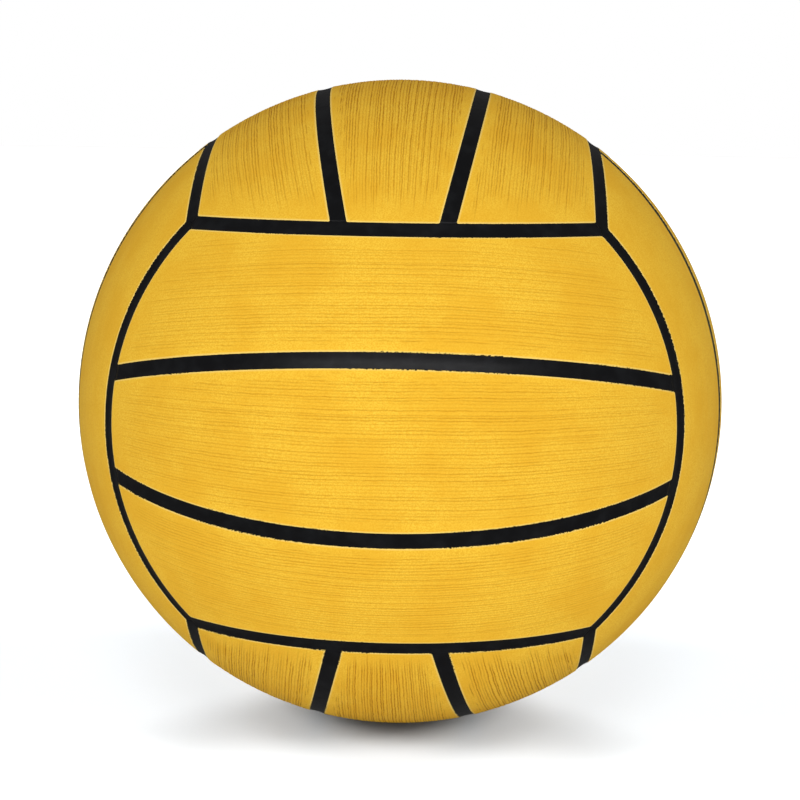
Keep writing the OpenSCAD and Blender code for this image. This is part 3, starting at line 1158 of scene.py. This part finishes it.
class BALL_OT_stage(bpy.types.Operator):
    """Sets the floor, the lights and the camera"""

    bl_idname = "ball.stage"
    bl_label = "Stage"

    def execute(self, context):
        self.floor(context)
        self.lights(context)
        self.camera(context)
        return {"FINISHED"}

    def floor(self, context):
        half = context.scene.stage_sizes.floor_side / 2
        low = -context.scene.ball_sizes.radius
        mesh = bpy.data.meshes.new("studio_floor")
        corners = [(x * half, y * half, low) for x, y in ((-1, -1), (1, -1), (1, 1), (-1, 1))]
        mesh.from_pydata(corners, [], [[0, 1, 2, 3]])
        mesh.materials.append(pale_floor())
        floor = bpy.data.objects.new("studio_floor", mesh)
        # The rubber's sheen doesn't show it, so that the lower seams stay black
        floor.visible_glossy = False
        context.scene.collection.objects.link(floor)

    def lights(self, context):
        """Even light from all round, one softbox by the camera and one behind, weak ones above and
        at the sides, and the strip that makes the seams gleam. Suns that only the floor takes leave
        it white, with a compact shadow."""
        sizes = context.scene.stage_sizes
        floor = bpy.data.objects["studio_floor"]
        floor_only = bpy.data.collections.new("floor_only")
        not_floor = bpy.data.collections.new("not_the_floor")
        for receivers in (floor_only, not_floor):
            receivers.objects.link(floor)
        not_floor.collection_objects[0].light_linking.link_state = "EXCLUDE"
        for name, azimuth, elevation, width, height, watts in SOFTBOXES:
            lamp = bpy.data.lights.new(name, "AREA")
            lamp.shape = "ELLIPSE"
            lamp.size = width
            lamp.size_y = height
            lamp.energy = watts
            away = direction(sizes.azimuth + math.radians(azimuth), math.radians(elevation))
            softbox = self.hang(context, name, lamp, away * SOFTBOX_DISTANCE)
            softbox.light_linking.receiver_collection = not_floor
            softbox.visible_glossy = name == SHEEN_LIGHT
            softbox.visible_diffuse = not softbox.visible_glossy
        for name, azimuth, elevation, spread, strength in FLOOR_SUNS:
            lamp = bpy.data.lights.new(name, "SUN")
            lamp.angle = math.radians(spread)
            lamp.energy = strength
            away = direction(math.radians(azimuth), math.radians(elevation))
            sun = self.hang(context, name, lamp, away)
            sun.light_linking.receiver_collection = floor_only
        world = bpy.data.worlds.new("white_studio")
        world.use_nodes = True
        context.scene.world = world
        node = partial(add_node, world.node_tree)
        # The camera sees the room white, whatever light it gives
        rays = node("ShaderNodeLightPath").node.outputs
        shown = ROOM_LIGHT
        for ray, brightness in (("Is Glossy Ray", ROOM_IN_SHEEN), ("Is Camera Ray", 1.0)):
            sockets = {FACTOR: rays[ray], FIRST_NUMBER: shown, SECOND_NUMBER: brightness}
            shown = node(MIX, sockets, data_type="FLOAT")
        background = world.node_tree.nodes["Background"]
        world.node_tree.links.new(shown, background.inputs["Strength"])
        background.inputs["Color"].default_value = (1, 1, 1, 1)

    @staticmethod
    def hang(context, name, lamp, place):
        """Hangs a lamp so that it shines at the ball's centre."""
        made = bpy.data.objects.new(name, lamp)
        made.location = place
        made.rotation_euler = (-place).to_track_quat("-Z", "Y").to_euler()
        context.scene.collection.objects.link(made)
        return made

    def camera(self, context):
        sizes = context.scene.stage_sizes
        ball_radius = context.scene.ball_sizes.radius
        away = direction(sizes.azimuth, sizes.elevation)
        # The outline of a ball is a little wider than the ball, because it is seen from nearby
        focal_px = OUTLINE_RADIUS_PX * math.sqrt((sizes.distance / ball_radius) ** 2 - 1)
        lens = bpy.data.cameras.new("photograph_view")
        lens.sensor_width = SENSOR_WIDTH
        lens.lens = focal_px * SENSOR_WIDTH / PHOTO_SIDE_PX
        lens.clip_start, lens.clip_end = CLIP_RANGE
        camera = bpy.data.objects.new("photograph_view", lens)
        facing = (-away).to_track_quat("-Z", "Y").to_matrix().to_4x4()
        turn = facing @ Matrix.Rotation(sizes.roll, 4, "Z")
        # The outline's centre isn't quite the picture's, so the camera moves in its own plane
        shift = [(PHOTO_SIDE_PX / 2 - place) / focal_px * sizes.distance for place in OUTLINE_CENTRE_PX]
        in_plane = Matrix.Translation((shift[0], -shift[1], 0))
        camera.matrix_world = Matrix.Translation(away * sizes.distance) @ turn @ in_plane
        context.scene.collection.objects.link(camera)
        context.scene.camera = camera
        context.scene.view_settings.view_transform = "Standard"
        context.scene.view_settings.look = "None"


class BALL_PT_sidebar(bpy.types.Panel):
    """Lists the ball's pieces and sizes in the sidebar"""

    bl_idname = "BALL_PT_sidebar"
    bl_label = "Water Polo Ball"
    bl_space_type = "VIEW_3D"
    bl_region_type = "UI"
    bl_category = "Ball"

    def draw(self, context):
        for operator in OPERATORS:
            self.layout.operator(operator.bl_idname)
        for group_name, group in GROUPS.items():
            box = self.layout.box()
            box.label(text=group.__doc__)
            for name in group.__annotations__:
                box.prop(getattr(context.scene, group_name), name)


GROUPS = {
    "ball_sizes": BallSizes,
    "grip_sizes": GripSizes,
    "valve_sizes": ValveSizes,
    "ball_colours": BallColours,
    "stage_sizes": StageSizes,
}
OPERATORS = (
    BALL_OT_cover_panels,
    BALL_OT_seam_strips,
    BALL_OT_valve,
    BALL_OT_inner_layers,
    BALL_OT_stage,
)


def register():
    for each in (*GROUPS.values(), *OPERATORS, BALL_PT_sidebar):
        bpy.utils.register_class(each)
    for name, group in GROUPS.items():
        setattr(bpy.types.Scene, name, PointerProperty(type=group))


def unregister():
    for name in GROUPS:
        delattr(bpy.types.Scene, name)
    for each in reversed((*GROUPS.values(), *OPERATORS, BALL_PT_sidebar)):
        bpy.utils.unregister_class(each)


def main():
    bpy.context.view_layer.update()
    register()
    for operator in OPERATORS:
        group, name = operator.bl_idname.split(".")
        getattr(getattr(bpy.ops, group), name)()


if __name__ == "__main__":
    main()
